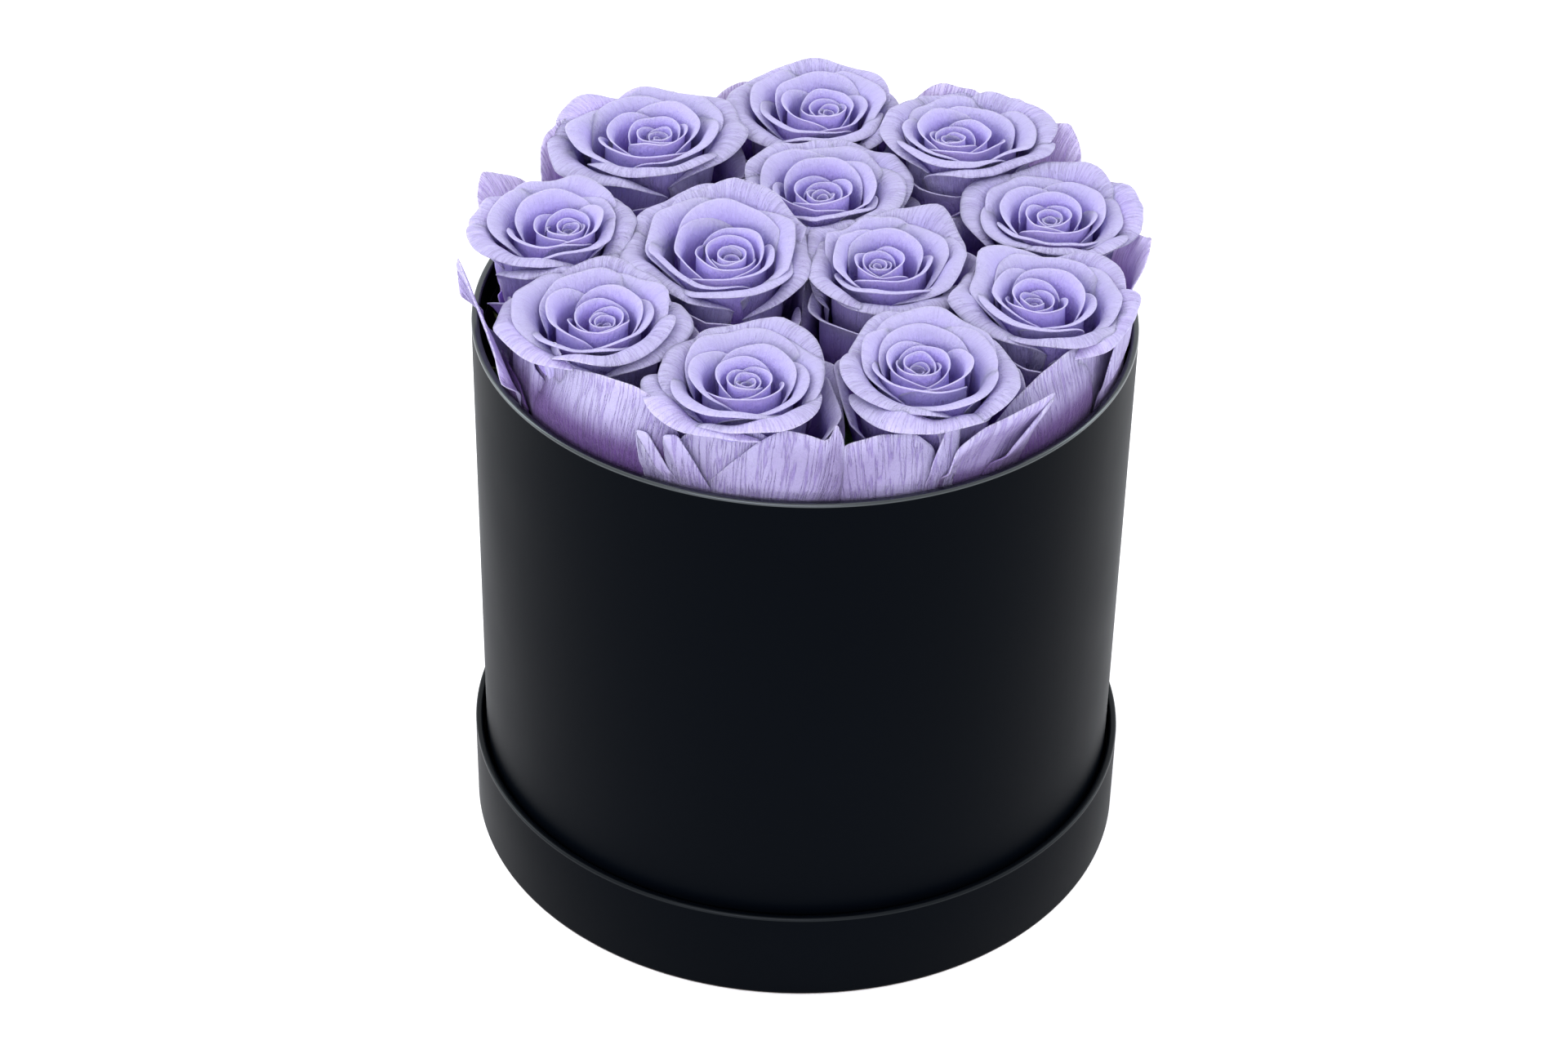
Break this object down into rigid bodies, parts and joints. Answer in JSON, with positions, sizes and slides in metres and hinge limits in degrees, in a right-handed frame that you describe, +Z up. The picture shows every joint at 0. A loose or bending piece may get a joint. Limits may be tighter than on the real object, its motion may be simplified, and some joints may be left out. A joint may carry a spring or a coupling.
{
  "type": "flower box",
  "caption": "Round wrapped-board flower box standing in its upturned lid and filled with preserved roses on short stems in a foam disc.",
  "frame": {"origin": "centre of the lid's underside, on the surface that the box stands on", "axes": "+Z up along the box's axis, -Y towards the front, +X to the right seen from the front"},
  "size_m": [0.207, 0.207, 0.2146],
  "materials": {
    "wrap_paper": "smooth satin black covering paper",
    "lining_paper": "matte black lining paper",
    "greyboard": "raw grey board",
    "foam": "crumbly green floral foam",
    "petal": "soft velvety preserved petals, lavender",
    "sepal": "matte preserved leaf green",
    "stem": "dull green stem"
  },
  "bodies": {
    "lid_tray": {"lid_band_board": "greyboard", "lid_band_wrap": "wrap_paper", "lid_band_lining": "lining_paper", "lid_panel_board": "greyboard", "lid_panel_cover": "wrap_paper", "lid_panel_lining": "lining_paper"},
    "box": {"box_wall_board": "greyboard", "box_wall_wrap": "wrap_paper", "box_wall_lining": "lining_paper", "box_base_board": "greyboard", "box_base_cover": "wrap_paper", "box_base_lining": "lining_paper", "riser_ring": "greyboard", "platform_board": "greyboard", "foam_disc": "foam"},
    "rose_01": {"rose_01_bloom": "petal", "rose_01_calyx": "sepal", "rose_01_stem": "stem"},
    "rose_02": {"rose_02_bloom": "petal", "rose_02_calyx": "sepal", "rose_02_stem": "stem"},
    "rose_03": {"rose_03_bloom": "petal", "rose_03_calyx": "sepal", "rose_03_stem": "stem"},
    "rose_04": {"rose_04_bloom": "petal", "rose_04_calyx": "sepal", "rose_04_stem": "stem"},
    "rose_05": {"rose_05_bloom": "petal", "rose_05_calyx": "sepal", "rose_05_stem": "stem"},
    "rose_06": {"rose_06_bloom": "petal", "rose_06_calyx": "sepal", "rose_06_stem": "stem"},
    "rose_07": {"rose_07_bloom": "petal", "rose_07_calyx": "sepal", "rose_07_stem": "stem"},
    "rose_08": {"rose_08_bloom": "petal", "rose_08_calyx": "sepal", "rose_08_stem": "stem"},
    "rose_09": {"rose_09_bloom": "petal", "rose_09_calyx": "sepal", "rose_09_stem": "stem"},
    "rose_10": {"rose_10_bloom": "petal", "rose_10_calyx": "sepal", "rose_10_stem": "stem"},
    "rose_11": {"rose_11_bloom": "petal", "rose_11_calyx": "sepal", "rose_11_stem": "stem"},
    "rose_12": {"rose_12_bloom": "petal", "rose_12_calyx": "sepal", "rose_12_stem": "stem"}
  },
  "joints": [
    {"name": "box_lift", "type": "slide", "parent": "lid_tray", "child": "box", "axis": [0, 0, 1], "range_m": [0, 0.045]},
    {"name": "rose_01_lift", "type": "slide", "parent": "box", "child": "rose_01", "axis": [0, 0, 1], "range_m": [0, 0.11]},
    {"name": "rose_02_lift", "type": "slide", "parent": "box", "child": "rose_02", "axis": [0, 0, 1], "range_m": [0, 0.11]},
    {"name": "rose_03_lift", "type": "slide", "parent": "box", "child": "rose_03", "axis": [0, 0, 1], "range_m": [0, 0.11]},
    {"name": "rose_04_lift", "type": "slide", "parent": "box", "child": "rose_04", "axis": [0, 0, 1], "range_m": [0, 0.11]},
    {"name": "rose_05_lift", "type": "slide", "parent": "box", "child": "rose_05", "axis": [0, 0, 1], "range_m": [0, 0.11]},
    {"name": "rose_06_lift", "type": "slide", "parent": "box", "child": "rose_06", "axis": [0, 0, 1], "range_m": [0, 0.11]},
    {"name": "rose_07_lift", "type": "slide", "parent": "box", "child": "rose_07", "axis": [0, 0, 1], "range_m": [0, 0.11]},
    {"name": "rose_08_lift", "type": "slide", "parent": "box", "child": "rose_08", "axis": [0, 0, 1], "range_m": [0, 0.11]},
    {"name": "rose_09_lift", "type": "slide", "parent": "box", "child": "rose_09", "axis": [0, 0, 1], "range_m": [0, 0.11]},
    {"name": "rose_10_lift", "type": "slide", "parent": "box", "child": "rose_10", "axis": [0, 0, 1], "range_m": [0, 0.11]},
    {"name": "rose_11_lift", "type": "slide", "parent": "box", "child": "rose_11", "axis": [0, 0, 1], "range_m": [0, 0.11]},
    {"name": "rose_12_lift", "type": "slide", "parent": "box", "child": "rose_12", "axis": [0, 0, 1], "range_m": [0, 0.11]}
  ]
}
